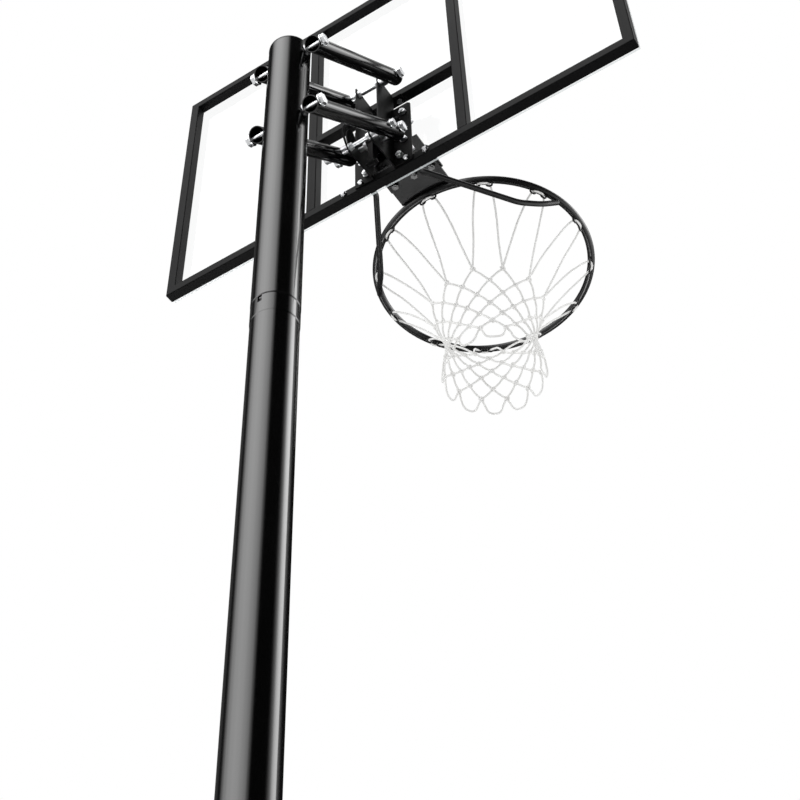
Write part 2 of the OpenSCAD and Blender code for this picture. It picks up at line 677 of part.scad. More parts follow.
// Rod from a tab on the board up to the underside of the ring
brace_r = 6;
brace_x = 224.2; // where the rod meets the ring
brace_path = [
    [55, face_y + 6.8, rim_h - 92], [52.5, face_y + 24, rim_h - 89.5],
    [171, face_y + 224, rim_h - 61], [203, face_y + 267, rim_h - 42],
    [brace_x, ring_y - sqrt(pow(ring_r, 2) - pow(brace_x, 2)), rim_h - bar_d / 2 - 5]];
module brace() difference() {
    union() {
        bent(brace_path, brace_r);
        translate(brace_path[0]) sphere(r = brace_r, $fn = 32);
        translate([29, face_y, rim_h - 107]) cube([33, 4, 28]);
    }
    ycyl(face_y - 2, face_y + 8, brace_hole, mid_r + loose);
}
module brace_right() color(ring_black) brace();
module brace_left() color(ring_black) mirror([1, 0, 0]) brace();

// Twelve double hooks of bent wire under the ring: each has two upturned ends
wire_r = 2;
hook_r = 6;
hook_y = 7; // where each hook leaves the middle bar
module net_hooks() color(ring_black) translate([0, ring_y, rim_h]) for (a = [0:30:330])
    rotate([0, 0, a]) translate([ring_r - 5, 0, -bar_d / 2 - 2]) {
        rotate([90, 0, 0]) translate([0, 2, -hook_y])
            cylinder(h = 2 * hook_y, r = wire_r, $fn = 16);
        for (side = [-1, 1]) {
            translate([0, hook_y * side, 0]) cylinder(h = 2, r = wire_r, $fn = 16);
            translate([0, (hook_y + hook_r) * side, 0]) rotate([-90, 0, 90])
                rotate_extrude(angle = 180, $fn = 24)
                    translate([hook_r, 0]) circle(r = wire_r, $fn = 16);
        }
    }

// Envelope of the net: a thin tapered sleeve, narrowest above its lower edge.
// Columns: depth below the ring for a drop of 354, mean radius
net_table = [
    [25, 212], [60, 182], [100, 151], [147.5, 121.4], [175, 110], [203, 101],
    [230.5, 94.5], [258, 93], [286, 96], [313.6, 102], [354, 107]];
function net_point(i, offset) = [net_table[i][1] + offset, -net_table[i][0] * net_drop / 354];
module net() color([0.93, 0.93, 0.93]) translate([0, ring_y, rim_h]) rotate_extrude($fn = 96)
    polygon(concat([for (i = [0:10]) net_point(i, 1)], [for (i = [10:-1:0]) net_point(i, -1)]));

base_tank();
fill_cap();
fill_cap_seal();
wheel_axle();
wheel_left();
wheel_right();
axle_caps();
pole_bottom();
pole_middle();
pole_top();
pole_cap();
pole_base_bolt();
strut_left();
strut_right();
strut_top_bolt();
strut_foot_bolts();
pole_pivot_bolt_upper();
pole_pivot_bolt_lower();
pole_pivot_nuts();
pole_pivot_spacers();
upper_arm_left();
upper_arm_right();
lower_arm_left();
lower_arm_right();
height_bolt();
height_bolt_nuts();
height_bolt_spacers();
front_pivot_bolt_upper();
front_pivot_bolt_lower();
front_pivot_nuts();
front_pivot_spacers();
side_bracket_left();
side_bracket_right();
bracket_bolts();
lock_lever();
frame_top_rail();
frame_bottom_rail();
frame_left_rail();
frame_right_rail();
upright_left();
upright_right();
crossbar();
clear_panel();
frame_bolts();
panel_bolts();
panel_bolt_nuts();
panel_bolt_spacers();
rim_bracket();
ring_tongue();
tongue_bolts();
rim_ring();
rim_bolts();
rim_bolt_nuts();
rim_bolt_spacers();
brace_left();
brace_right();
net_hooks();
net();
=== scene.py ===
"""Basketball hoop with a clear panel, a ring, a net and two braces on a pole.

Metres, +Z up. X runs across the board, and the ring stands out from it toward +Y.
The net hangs below the ring. The CAD pieces get materials; the net and the braces are rebuilt.
"""
import json
import math
from functools import cached_property

import bpy
import numpy as np
from mathutils import Matrix, Vector


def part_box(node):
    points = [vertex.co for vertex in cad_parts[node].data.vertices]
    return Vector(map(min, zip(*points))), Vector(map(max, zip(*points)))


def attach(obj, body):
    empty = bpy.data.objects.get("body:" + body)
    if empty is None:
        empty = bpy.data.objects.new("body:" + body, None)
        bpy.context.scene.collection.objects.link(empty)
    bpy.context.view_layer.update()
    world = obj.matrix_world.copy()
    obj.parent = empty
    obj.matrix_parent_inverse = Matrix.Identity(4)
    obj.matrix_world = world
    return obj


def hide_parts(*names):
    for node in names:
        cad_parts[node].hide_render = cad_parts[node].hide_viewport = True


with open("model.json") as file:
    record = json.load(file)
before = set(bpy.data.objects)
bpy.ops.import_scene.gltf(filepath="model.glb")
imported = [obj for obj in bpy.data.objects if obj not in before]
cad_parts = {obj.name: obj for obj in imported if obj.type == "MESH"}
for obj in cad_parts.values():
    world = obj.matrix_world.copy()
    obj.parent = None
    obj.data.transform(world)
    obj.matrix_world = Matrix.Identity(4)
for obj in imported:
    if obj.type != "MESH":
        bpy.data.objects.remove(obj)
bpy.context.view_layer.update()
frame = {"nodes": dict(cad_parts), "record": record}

scene = bpy.context.scene
NODES = frame["nodes"]
SLOTS = {part["node"]: part["material_slot"] for part in frame["record"]["subparts"]}


# ------------------------------------------------------------------ node helpers
class Graph:
    """A node tree with a few short helpers."""

    def __init__(self, tree):
        self.tree = tree

    def put(self, value, socket):
        """Link an output socket to the input, or set the input's value."""
        if isinstance(value, bpy.types.NodeSocket):
            self.tree.links.new(value, socket)
        else:
            socket.default_value = value

    def node(self, kind, inputs=None, **settings):
        node = self.tree.nodes.new("ShaderNode" + kind)
        for key, value in settings.items():
            setattr(node, key, value)
        for key, value in (inputs or {}).items():
            self.put(value, node.inputs[key])
        return node

    def math(self, operation, a, b=0.0, *rest):
        terms = dict(enumerate((a, b, *rest)))
        return self.node("Math", terms, operation=operation).outputs[0]

    def split(self, vector):
        """The x, y and z outputs of a vector."""
        return self.node("SeparateXYZ", {0: vector}).outputs


class Material(Graph):
    """A new material around its Principled BSDF, with patterns in object coordinates."""

    def __init__(self, name):
        self.material = bpy.data.materials.new(name)
        self.material.use_nodes = True
        super().__init__(self.material.node_tree)
        by_type = {node.type: node for node in self.tree.nodes}
        self.principled = by_type["BSDF_PRINCIPLED"]
        self.output = by_type["OUTPUT_MATERIAL"]
        self.coords = self.node("TexCoord").outputs["Object"]

    @cached_property
    def geometry(self):
        return self.node("NewGeometry").outputs

    def math(self, operation, a, b=0.0):
        """Math with the spare third term at zero."""
        return super().math(operation, a, b, 0.0)

    def noise(self, scale, detail=3.0, rough=0.5, stretch=None):
        coords = self.coords
        if stretch:
            scaled = self.node("VectorMath", {0: coords, 1: stretch}, operation="MULTIPLY")
            coords = scaled.outputs[0]
        inputs = {"Scale": scale, "Detail": detail, "Roughness": rough, "Vector": coords}
        return self.node("TexNoise", inputs).outputs["Fac"]

    def span(self, value, over, to=(0.0, 1.0)):
        """Map the range `over` onto the range `to`, clamped."""
        inputs = dict(enumerate((value, *over, *to)))
        return self.node("MapRange", inputs, clamp=True).outputs[0]

    def mix(self, factor, first, second):
        """Blend two colours, each an output socket or an RGB triple."""
        first, second = ((*c, 1.0) if isinstance(c, tuple) else c for c in (first, second))
        inputs = {"Factor": factor, 6: first, 7: second}
        return self.node("Mix", inputs, data_type="RGBA").outputs[2]

    def mix_shader(self, factor, first, second):
        return self.node("MixShader", {0: factor, 1: first, 2: second}).outputs[0]

    def bump(self, height, strength, distance, under=None):
        inputs = {"Strength": strength, "Distance": distance, "Height": height}
        if under is not None:
            inputs["Normal"] = under
        return self.node("Bump", inputs).outputs["Normal"]

    def edges(self, radius):
        """1 on the crest of sharp edges, 0 on open faces."""
        bevel = self.node("Bevel", {"Radius": radius}, samples=4)
        normals = {0: bevel.outputs[0], 1: self.geometry["Normal"]}
        dot = self.node("VectorMath", normals, operation="DOT_PRODUCT")
        return self.span(dot.outputs["Value"], over=(0.995, 0.90))

    def set(self, **values):
        """Set Principled inputs, with underscores for spaces; returns the material."""
        for key, value in values.items():
            self.put(value, self.principled.inputs[key.replace("_", " ")])
        return self.material

    def show(self, shader):
        """Send a shader to the output in place of the Principled BSDF."""
        self.put(shader, self.output.inputs[0])


def shade(color, gain, lift=0.0):
    return tuple(min(1.0, c * gain + lift) for c in color)


# ------------------------------------------------------------------ materials
def powder_coat(name, dark, light, rough, peel, wear, spec):
    """Baked powder coat: slow tone drift, orange peel, faint dust and rubbed edges."""
    mat = Material(name)
    drift = mat.noise(scale=5.0, detail=4.0, rough=0.6)
    dust = mat.noise(scale=140.0, detail=2.0, rough=0.7)
    patches = mat.noise(scale=60.0, detail=4.0, rough=0.7)
    color = mat.mix(mat.span(drift, over=(0.35, 0.7)), dark, light)
    patches = mat.span(patches, over=(0.42, 0.62), to=(0.0, wear))
    worn = mat.math("MULTIPLY", mat.edges(radius=0.0012), patches)
    color = mat.mix(worn, color, shade(light, gain=3.0, lift=0.03))
    roughness = mat.span(drift, over=(0.3, 0.75), to=(rough * 0.88, rough * 1.12))
    roughness = mat.math("ADD", roughness, mat.span(dust, over=(0.55, 0.75), to=(0.0, 0.04)))
    fine = mat.noise(scale=1400.0, detail=1.0)
    wave = mat.noise(scale=260.0, detail=2.0)
    normal = mat.bump(fine, strength=0.10 * peel, distance=0.0003)
    normal = mat.bump(wave, strength=0.10 * peel, distance=0.0006, under=normal)
    return mat.set(Base_Color=color, Roughness=roughness, Coat_Weight=0.0,
                   Coat_Roughness=rough * 0.6, Specular_IOR_Level=spec, Normal=normal)


def metal(name, color, rough, grain=(40.0, 40.0, 40.0), thread_below=None):
    """Plated or drawn steel: blotches, drawing lines, a thread below a plane in X with painted
    shade darkening its grooves.
    """
    mat = Material(name)
    plating = mat.noise(scale=90.0, detail=4.0, rough=0.65)
    base = mat.mix(mat.span(plating, over=(0.3, 0.7)), shade(color, gain=0.88), color)
    lines = mat.noise(scale=1.0, detail=3.0, rough=0.6, stretch=grain)
    roughness = mat.span(lines, over=(0.3, 0.7), to=(rough * 0.8, rough * 1.25))
    normal = mat.bump(lines, strength=0.12, distance=0.0003)
    if thread_below is not None:
        pitch = 0.00125
        x = mat.split(mat.coords)[0]
        ridge = mat.math("SINE", mat.math("MULTIPLY", x, 2 * math.pi / pitch))
        threaded = mat.math("LESS_THAN", x, thread_below)
        height = mat.math("MULTIPLY", ridge, threaded)
        normal = mat.bump(height, strength=0.9, distance=0.0007, under=normal)
        # painted shade: the colour darkens in the thread's grooves
        painted_groove_shade = mat.span(ridge, over=(-1.0, 0.2), to=(0.55, 0.0))
        base = mat.mix(mat.math("MULTIPLY", threaded, painted_groove_shade), base, shade(color, gain=0.35))
    return mat.set(Base_Color=base, Metallic=1.0, Roughness=roughness, Normal=normal)


def moulded(name, dark, light, rough, grain, scuff=0.0, flow=0.0):
    """Moulded plastic: fine eroded grain, slow sinks in the wall, scuffs on the crests."""
    mat = Material(name)
    drift = mat.noise(scale=4.0, detail=4.0, rough=0.6)
    color = mat.mix(mat.span(drift, over=(0.3, 0.7)), dark, light)
    if scuff:
        patches = mat.noise(scale=35.0, detail=5.0, rough=0.75)
        patches = mat.span(patches, over=(0.45, 0.65), to=(0.0, scuff))
        rubbed = mat.math("MULTIPLY", mat.edges(radius=0.003), patches)
        color = mat.mix(rubbed, color, shade(light, gain=4.0, lift=0.06))
    gloss = mat.noise(scale=22.0, detail=3.0, rough=0.6)
    roughness = mat.span(gloss, over=(0.3, 0.7), to=(rough * 0.88, rough * 1.12))
    texture = mat.noise(scale=grain, detail=2.0, rough=0.6)
    normal = mat.bump(texture, strength=0.28, distance=0.0004)
    if flow:
        sinks = mat.noise(scale=7.0, detail=1.0, rough=0.4)
        normal = mat.bump(sinks, strength=flow, distance=0.02, under=normal)
    return mat.set(Base_Color=color, Roughness=roughness, Specular_IOR_Level=0.45,
                   Normal=normal)


def clear_sheet(name):
    """Clear polycarbonate: see-through faces with a light sheen, cut edges painted an opaque
    light milky grey as a painted edge glow.
    """
    mat = Material(name)
    # light milky grey for the cut edges only: a painted edge glow
    tone = mat.span(mat.noise(scale=9.0), over=(0.3, 0.7))
    color = mat.mix(tone, (0.80, 0.84, 0.85), (0.72, 0.78, 0.79))
    mat.set(Base_Color=color, Roughness=0.22, Specular_IOR_Level=0.5)
    clear = mat.node("BsdfTransparent", {0: (0.992, 0.994, 0.994, 1)})
    gloss = mat.span(mat.noise(scale=6.0), over=(0.3, 0.7), to=(0.02, 0.05))
    sheen = mat.node("BsdfGlossy", {"Color": (0.9, 0.93, 0.94, 1), "Roughness": gloss})

    # the sheen follows the viewing angle, and only on the side facing out
    fresnel = mat.node("Fresnel", {"IOR": 1.35})
    outside = mat.math("SUBTRACT", 1.0, mat.geometry["Backfacing"])
    haze = mat.noise(scale=3.0, detail=4.0, rough=0.6)
    haze = mat.span(haze, over=(0.3, 0.8), to=(0.36, 0.46))
    amount = mat.math("MULTIPLY", fresnel.outputs[0], haze)
    amount = mat.math("MULTIPLY", amount, outside)
    face = mat.mix_shader(amount, clear.outputs[0], sheen.outputs[0])

    # a cut edge is where the normal turns away from Y
    normal_y = mat.split(mat.geometry["Normal"])[1]
    cut_edge = mat.math("LESS_THAN", mat.math("ABSOLUTE", normal_y), 0.5)
    # painted edge glow: the cut edges show the opaque light grey surface
    painted_edge_glow = mat.math("MULTIPLY", cut_edge, 0.6)
    mat.show(mat.mix_shader(painted_edge_glow, face, mat.principled.outputs[0]))
    return mat.material


def cord_material(name):
    """White braided nylon: fibre fuzz, faint soiling, painted shade in the gaps between fibres,
    a soft sheen.
    """
    mat = Material(name)
    fibre = mat.noise(scale=1800.0, detail=3.0, rough=0.7)
    soil = mat.noise(scale=26.0, detail=4.0, rough=0.65)
    color = mat.mix(mat.span(soil, over=(0.35, 0.75)), (0.90, 0.90, 0.89), (0.80, 0.795, 0.78))
    # painted shade: the colour darkens in the gaps between the fibres
    fibre_gap_shade = mat.span(fibre, over=(0.25, 0.55), to=(0.08, 0.0))
    color = mat.mix(fibre_gap_shade, color, (0.55, 0.55, 0.54))
    normal = mat.bump(fibre, strength=0.12, distance=0.0005)
    return mat.set(Base_Color=color, Roughness=0.78, Sheen_Weight=0.25, Sheen_Roughness=0.5,
                   Specular_IOR_Level=0.25, Normal=normal)


ZINC = (0.62, 0.63, 0.64)
MATERIALS = {
    "pole_paint": powder_coat(
        "pole_gloss_black", dark=(0.0008, 0.0008, 0.0009), light=(0.0016, 0.0016, 0.0017),
        rough=0.13, peel=0.35, wear=0.12, spec=0.5),
    "arm_paint": powder_coat(
        "arm_gloss_black", dark=(0.0009, 0.0009, 0.0010), light=(0.0018, 0.0018, 0.0019),
        rough=0.13, peel=0.4, wear=0.12, spec=0.36),
    "frame_paint": powder_coat(
        "frame_satin_charcoal", dark=(0.0022, 0.0022, 0.0023), light=(0.0045, 0.0045, 0.0047),
        rough=0.44, peel=0.9, wear=0.25, spec=0.035),
    "ring_paint": powder_coat(
        "ring_satin_black", dark=(0.0045, 0.0045, 0.0047), light=(0.0070, 0.0070, 0.0073),
        rough=0.29, peel=0.8, wear=0.25, spec=0.32),
    "zinc": metal("zinc_plate", ZINC, rough=0.34),
    "plain_steel": metal(
        "drawn_steel", (0.34, 0.34, 0.35), rough=0.38, grain=(6.0, 420.0, 420.0)),
    "moulded_black": moulded(
        "tank_polyethylene", dark=(0.010, 0.010, 0.0105), light=(0.017, 0.017, 0.018),
        rough=0.50, grain=900.0, scuff=0.35, flow=0.12),
    "cap_plastic": moulded(
        "cap_plastic", dark=(0.010, 0.010, 0.0105), light=(0.014, 0.014, 0.0145),
        rough=0.34, grain=1300.0, scuff=0.15),
    "wheel_plastic": moulded(
        "wheel_plastic", dark=(0.012, 0.012, 0.0125), light=(0.022, 0.022, 0.022),
        rough=0.52, grain=700.0, scuff=0.6),
    "seal_rubber": moulded(
        "seal_rubber", dark=(0.006, 0.006, 0.006), light=(0.010, 0.010, 0.010),
        rough=0.62, grain=1500.0),
    "clear_sheet": clear_sheet("clear_polycarbonate"),
    "net_cord": cord_material("net_cord"),
}
threaded_zinc = metal("zinc_plate_threaded", ZINC, rough=0.34, thread_below=-0.0725)
blackened_steel = metal("blackened_steel", (0.12, 0.12, 0.12), rough=0.42)

# pieces whose material differs from their slot's
SPECIAL = dict.fromkeys((
    "pole_pivot_bolt_upper", "pole_pivot_bolt_lower", "height_bolt",
    "front_pivot_bolt_upper", "front_pivot_bolt_lower"), threaded_zinc)
SPECIAL["tongue_bolts"] = blackened_steel

for name, obj in NODES.items():
    obj.data.materials.clear()
    obj.data.materials.append(SPECIAL[name] if name in SPECIAL else MATERIALS[SLOTS[name]])
    for polygon in obj.data.polygons:
        polygon.material_index = 0

NODES["clear_panel"].visible_glossy = False


# ------------------------------------------------------------------ paths and meshes
def resample(points, step):
    """Evenly spaced points along a polyline, and their distances from its start."""
    lengths = np.linalg.norm(np.diff(points, axis=0), axis=1)
    along = np.r_[0, np.cumsum(lengths)]
    count = max(4, int(round(along[-1] / step)))
    even = np.linspace(0, along[-1], count + 1)
    return np.stack([np.interp(even, along, points[:, i]) for i in range(3)], 1), even


def smooth_path(points, step=0.002, closed=False):
    """Centripetal Catmull-Rom through the points, resampled evenly."""
    p = np.asarray(points, float)
    if closed:
        p = np.vstack([p[-1], p, p[0], p[1]])
    else:
        p = np.vstack([2 * p[0] - p[1], p, 2 * p[-1] - p[-2]])
    knot_times = np.r_[0, np.cumsum(np.linalg.norm(np.diff(p, axis=0), axis=1) ** 0.5)]

    def blend(a, b, start, end):
        return (end - t) / (end - start) * a + (t - start) / (end - start) * b

    runs = []
    for i in range(1, len(p) - 2):
        p0, p1, p2, p3 = p[i - 1:i + 3]
        t0, t1, t2, t3 = knot_times[i - 1:i + 3]
        t = np.linspace(t1, t2, 24, endpoint=False)[:, None]
        a1 = blend(p0, p1, t0, t1)
        a2 = blend(p1, p2, t1, t2)
        a3 = blend(p2, p3, t2, t3)
        runs.append(blend(blend(a1, a2, t0, t2), blend(a2, a3, t1, t3), t1, t2))
    runs.append(runs[0][:1] if closed else p[-2][None, :])
    path, along = resample(np.vstack(runs), step)
    return (path[:-1], along[:-1]) if closed else (path, along)


def bend_path(points, radii, step=0.0015):
    """Straight runs joined by true arcs, one radius per inner point, resampled evenly."""
    points = [np.asarray(point, float) for point in points]
    runs = [points[0][None, :]]
    for before, corner, after, radius in zip(points, points[1:], points[2:], radii):
        ahead_in = (corner - before) / np.linalg.norm(corner - before)
        ahead_out = (after - corner) / np.linalg.norm(after - corner)
        turn = math.acos(float(np.clip(ahead_in @ ahead_out, -1, 1)))
        inward = (ahead_out - ahead_in) / np.linalg.norm(ahead_out - ahead_in)
        center = corner + inward * radius / math.cos(turn / 2)
        spoke = corner - ahead_in * radius * math.tan(turn / 2) - center
        spoke /= np.linalg.norm(spoke)
        t = np.linspace(0, turn, 24)[:, None]
        runs.append(center + radius * (np.cos(t) * spoke + np.sin(t) * ahead_in))
    runs.append(points[-1][None, :])
    return resample(np.vstack(runs), step)


def sweep(path, along, radius, sides=12, closed=False, braid=0.008):
    """Round cord along a path; `braid` is how far the strands rise and fall."""
    lay = 0.0071        # length of one braid wave
    strands = 3
    count = len(path)
    if closed:
        tangents = np.roll(path, -1, 0) - np.roll(path, 1, 0)
    else:
        tangents = np.gradient(path, axis=0)
    tangents /= np.linalg.norm(tangents, axis=1)[:, None]

    # carry one side vector along the path without twist
    reference = (0.0, 0.0, 1.0) if abs(tangents[0][2]) < 0.9 else (1.0, 0.0, 0.0)
    normal = np.cross(tangents[0], reference)
    normals = [normal / np.linalg.norm(normal)]
    for tangent in tangents[1:]:
        normal = normals[-1] - tangent * (normals[-1] @ tangent)
        normals.append(normal / np.linalg.norm(normal))
    normals = np.array(normals)
    binormals = np.cross(tangents, normals)

    phi = np.linspace(0, 2 * math.pi, sides, endpoint=False)
    wave = np.cos(strands * phi)[None, :] * np.cos(2 * math.pi * along / lay)[:, None]
    radii = radius * (1 + braid * wave)
    spokes = (np.cos(phi)[None, :, None] * normals[:, None, :]
              + np.sin(phi)[None, :, None] * binormals[:, None, :])
    verts = (path[:, None, :] + radii[..., None] * spokes).reshape(-1, 3)
    faces = []
    for i in range(count if closed else count - 1):
        a, b = i * sides, ((i + 1) % count) * sides
        for j in range(sides):
            k = (j + 1) % sides
            faces.append((a + j, a + k, b + k, b + j))
    if not closed:
        faces.append(tuple(range(sides - 1, -1, -1)))
        faces.append(tuple((count - 1) * sides + j for j in range(sides)))
    return verts, faces


def make(name, parts, material):
    """One smooth-shaded object from (vertices, faces) parts."""
    verts, faces, base = [], [], 0
    for part_verts, part_faces in parts:
        verts.append(part_verts)
        faces += [tuple(base + i for i in face) for face in part_faces]
        base += len(part_verts)
    mesh = bpy.data.meshes.new(name)
    mesh.from_pydata([tuple(vert) for vert in np.vstack(verts)], [], faces)
    mesh.validate()
    mesh.polygons.foreach_set("use_smooth", [True] * len(mesh.polygons))
    mesh.materials.append(material)
    mesh.update()
    obj = bpy.data.objects.new(name, mesh)
    scene.collection.objects.link(obj)
    return obj


def mount(pieces, replaced):
    """Fix the pieces to the board; the first replaces the CAD piece."""
    for piece in pieces:
        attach(piece, "board")
    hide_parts(replaced)


# ------------------------------------------------------------------ net
ring_lo, ring_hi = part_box("rim_ring")
net_lo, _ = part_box("net")
CX, CY, CZ = (ring_lo + ring_hi) / 2        # the ring's centre
NOMINAL_DROP = 0.354                        # net length that the depths below are given for
STRETCH = (CZ - net_lo.z) / NOMINAL_DROP
CORD = 0.0022                               # cord radius
HOOKS = 12
PITCH = 360.0 / HOOKS                       # degrees from hook to hook

# rows of knots, from the top down
ROW_RADII = [0.1214, 0.110, 0.101, 0.0945, 0.093, 0.096, 0.102]
ROWS = len(ROW_RADII)
TOP_ROW_DEPTH, ROW_PITCH = 0.1475, 0.0277
KNOT_SCATTER = np.array([0.0009, 0.35, 0.0008])     # radius, degrees, height

# Half of the loop over a hook, above its two lowest points, and its crown on the hook.
# Columns: radius, offset along the circle, height from the ring's centre.
HOOK_SIDE = [
    (0.2060, 21.4e-3, -0.0345), (0.2200, 18.4e-3, -0.0205), (0.2290, 14.6e-3, -0.0128),
    (0.2345, 10.2e-3, -0.0112), (0.2364, 5.6e-3, -0.0122)]
HOOK_CROWN = (0.2370, 0, -0.0126)

rng = np.random.default_rng(7)
scatter = {(row, i): rng.normal(0, 1, 3) * KNOT_SCATTER
           for row in range(ROWS) for i in range(HOOKS)}


def spin(points, degrees):
    """Place (radius, offset along the circle, height) points about the ring's axis."""
    angle = math.radians(degrees)
    p = np.asarray(points, float)
    x = p[:, 0] * math.cos(angle) - p[:, 1] * math.sin(angle)
    y = p[:, 0] * math.sin(angle) + p[:, 1] * math.cos(angle)
    return np.stack([x + CX, y + CY, p[:, 2] + CZ], 1)


def outward(point):
    """Level unit vector from the ring's axis toward the point."""
    away = np.array([point[0] - CX, point[1] - CY, 0.0])
    return away / np.linalg.norm(away)


def knot_center(row, i):
    """Centre of a knot: rows 0, 2, 4, 6 sit between the hooks, the others under them."""
    degrees = PITCH * i + (PITCH / 2 if row % 2 == 0 else 0)
    shift = scatter[row, i % HOOKS]
    height = -(TOP_ROW_DEPTH + ROW_PITCH * row) * STRETCH + shift[2]
    return spin([(ROW_RADII[row] + shift[0], 0, height)], degrees + shift[1])[0]


def loop_cord(row, i, side, crown):
    """Cord between neighbouring knots of a row, through a half loop, its crown, its mirror."""
    mirrored = [(radius, -offset, height) for radius, offset, height in side]
    body = spin(mirrored + [crown] + side[::-1], PITCH * i)
    return sweep(*smooth_path([knot_center(row, i - 1), *body, knot_center(row, i)]), CORD)


def hook_loop(i):
    """The long loop up from the top row, over a hook and down again."""
    shift = rng.normal(0, 0.0012, 6)        # six draws, of which two are used
    side = [(0.1500, 27.6e-3 + shift[0], -0.1005 * STRETCH),
            (0.1815, 24.3e-3 + shift[1], -0.0605 * STRETCH)] + HOOK_SIDE
    return loop_cord(0, i, side, HOOK_CROWN)


def mesh_cord(start, end):
    """A diamond's side, its middle bowed out from the net's axis and down."""
    bow_out, bow_down = 0.0022, 0.0006
    middle = (start + end) / 2
    middle = middle + outward(middle) * bow_out - np.array([0, 0, bow_down])
    return sweep(*smooth_path([start, middle, end]), CORD)


def bottom_loop(i):
    """The loop hanging from the lowest row."""
    wide = rng.normal(0, 0.0010)
    low = rng.normal(0, 0.0012)
    side = [(0.1030, 21.0e-3 + wide, -0.3290 * STRETCH),
            (0.1050, 15.5e-3 + wide, -0.3440 * STRETCH),
            (0.1065, 7.5e-3, -0.3510 * STRETCH + low)]
    return loop_cord(ROWS - 1, i, side, (0.1070, 0, -0.3517 * STRETCH + low))


def tied_knot(center):
    """A three-lobed closed turn of cord round a crossing."""
    lobe, depth = 0.00165, 0.0017
    widen, flatten = 1.08, 0.92
    out = outward(center)
    up = np.array([0.0, 0.0, 1.0])
    across = np.cross(up, out)
    turn = rng.uniform(0, 2 * math.pi)
    size = lobe * rng.uniform(0.95, 1.08)
    t = np.linspace(0, 2 * math.pi, 40, endpoint=False)
    x = (np.sin(t) + 2 * np.sin(2 * t)) * size
    y = (np.cos(t) - 2 * np.cos(2 * t)) * size
    z = -np.sin(3 * t) * depth
    cos, sin = math.cos(turn), math.sin(turn)
    points = (center + (x * cos - y * sin)[:, None] * across * widen
              + (x * sin + y * cos)[:, None] * up * flatten + z[:, None] * out)
    path = smooth_path(points, step=0.0018, closed=True)
    return sweep(*path, CORD * 0.98, sides=10, closed=True, braid=0.05)


cords = []
for i in range(HOOKS):
    cords.append(hook_loop(i))
    for row in range(ROWS - 1):
        first = i if row % 2 == 0 else i - 1
        for below in (first, first + 1):
            cords.append(mesh_cord(knot_center(row, i), knot_center(row + 1, below)))
    cords.append(bottom_loop(i))
knots = [tied_knot(knot_center(row, i)) for row in range(ROWS) for i in range(HOOKS)]

net_cords = make("net_cords", cords, MATERIALS["net_cord"])
net_knots = make("net_knots", knots, MATERIALS["net_cord"])
mount([net_cords, net_knots], replaced="net")

# ------------------------------------------------------------------ braces
tab_lo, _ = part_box("brace_right")
TAB_Y = tab_lo.y
BAR = (ring_hi.z - ring_lo.z) / 2                   # radius of the ring's bar
RING_RADIUS = (ring_hi.x - ring_lo.x) / 2 - BAR     # to the middle of the bar
ROD_RADIUS = 0.0060
ROD_END_X = 0.2242
ROD_END_BELOW = 0.0050                              # rod end below the bar's underside

# x, y from the tab's low-Y face, z from the ring's centre
ROD_POINTS = [
    (0.0550, 0.0068, -0.0920), (0.0525, 0.0240, -0.0895),
    (0.1710, 0.2240, -0.0610), (0.2030, 0.2670, -0.0420)]
ROD_BENDS = [0.024, 0.130, 0.130]                   # bend radii after the first point


def brace_rod():
    """Bent round rod from the tab to the underside of the ring."""
    end = (CX + ROD_END_X, CY - math.sqrt(RING_RADIUS ** 2 - ROD_END_X ** 2),
           CZ - BAR - ROD_END_BELOW)
    points = [(x, TAB_Y + y, CZ + z) for x, y, z in ROD_POINTS] + [end]
    return sweep(*bend_path(points, ROD_BENDS), ROD_RADIUS, sides=24, braid=0.0)


def tab_plate(x_span, y_span, z_span, corner=0.004, edge=0.0006):
    """Flat bar with rounded corners and broken edges."""
    x_lo, x_hi = x_span[0] + corner, x_span[1] - corner
    z_lo, z_hi = z_span[0] + corner, z_span[1] - corner
    y_lo, y_hi = y_span
    outline = []        # corner centre x and z, then the direction from it
    corners = ((x_hi, z_hi, 0), (x_lo, z_hi, 90), (x_lo, z_lo, 180), (x_hi, z_lo, 270))
    for x, z, start in corners:
        for k in range(7):
            angle = math.radians(start + 15 * k)
            outline.append((x, z, math.cos(angle), math.sin(angle)))
    verts, faces = [], []
    for y, radius in ((y_lo, corner - edge), (y_lo + edge, corner),
                      (y_hi - edge, corner), (y_hi, corner - edge)):
        verts += [(x + radius * cos, y, z + radius * sin) for x, z, cos, sin in outline]
    n = len(outline)
    for r in range(3):
        for j in range(n):
            k = (j + 1) % n
            faces.append((r * n + k, r * n + j, (r + 1) * n + j, (r + 1) * n + k))
    faces.append(tuple(range(n)))
    faces.append(tuple(3 * n + j for j in range(n - 1, -1, -1)))
    return np.array(verts), faces


def mirror_x(part):
    verts, faces = part
    return verts * np.array([-1.0, 1.0, 1.0]), [tuple(reversed(face)) for face in faces]


rod_part = brace_rod()
tab_part = tab_plate(x_span=(0.0290, 0.0620), y_span=(TAB_Y, TAB_Y + 0.0040),
                     z_span=(CZ - 0.1070, CZ - 0.0790))
for side in ("right", "left"):
    if side == "left":
        rod_part, tab_part = mirror_x(rod_part), mirror_x(tab_part)
    rod = make("brace_rod_" + side, [rod_part], MATERIALS["ring_paint"])
    tab = make("brace_tab_" + side, [tab_part], MATERIALS["ring_paint"])
    # only the tab's two large faces are flat-shaded
    smooth = [len(polygon.vertices) == 4 for polygon in tab.data.polygons]
    tab.data.polygons.foreach_set("use_smooth", smooth)
    mount([rod, tab], replaced="brace_" + side)


